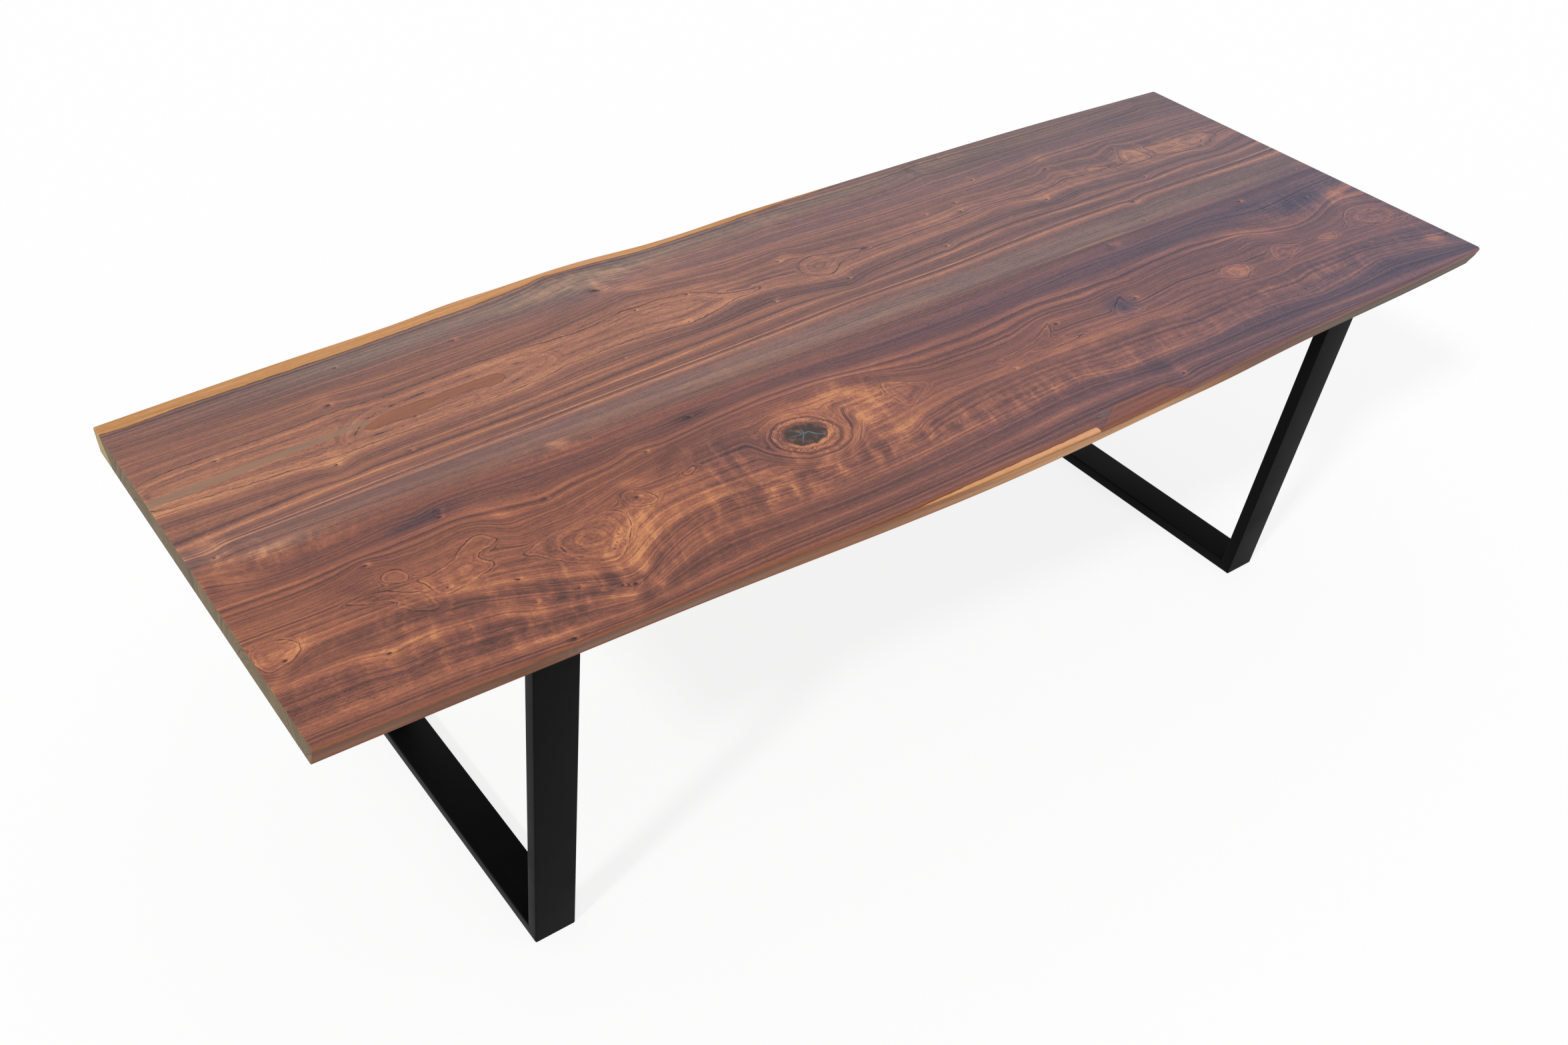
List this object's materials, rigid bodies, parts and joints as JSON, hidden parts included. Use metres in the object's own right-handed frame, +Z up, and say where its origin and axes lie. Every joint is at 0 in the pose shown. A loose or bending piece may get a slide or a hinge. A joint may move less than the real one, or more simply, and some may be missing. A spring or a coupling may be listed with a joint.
{
  "type": "live edge dining table",
  "caption": "Long walnut dining table with live edges along both sides, on two splayed frames of black rectangular steel tube.",
  "frame": {"origin": "on the floor, below the middle of the top's outline", "axes": "+X along the table to its right end, +Y to its rear edge, +Z up"},
  "size_m": [2.4384, 0.937, 0.7366],
  "materials": {
    "walnut": "oiled, satin",
    "patch_walnut": "oiled, satin",
    "resin": "sanded and oiled with the top",
    "black_powder_coat": "satin powder coat",
    "brass": "turned",
    "zinc_steel": "zinc plated",
    "blackened_steel": "black oxide"
  },
  "bodies": {
    "root": {"rear_board": "walnut", "front_board": "walnut", "edge_patch": "patch_walnut", "knot_resin": "resin", "edge_resin": "resin", "left_front_upright": "black_powder_coat", "left_rear_upright": "black_powder_coat", "left_bottom_rail": "black_powder_coat", "left_leg_welds": "black_powder_coat", "left_mounting_plate": "black_powder_coat", "left_threaded_inserts": "brass", "left_washers": "zinc_steel", "left_bolts": "blackened_steel", "right_front_upright": "black_powder_coat", "right_rear_upright": "black_powder_coat", "right_bottom_rail": "black_powder_coat", "right_leg_welds": "black_powder_coat", "right_mounting_plate": "black_powder_coat", "right_threaded_inserts": "brass", "right_washers": "zinc_steel", "right_bolts": "blackened_steel"}
  },
  "joints": []
}
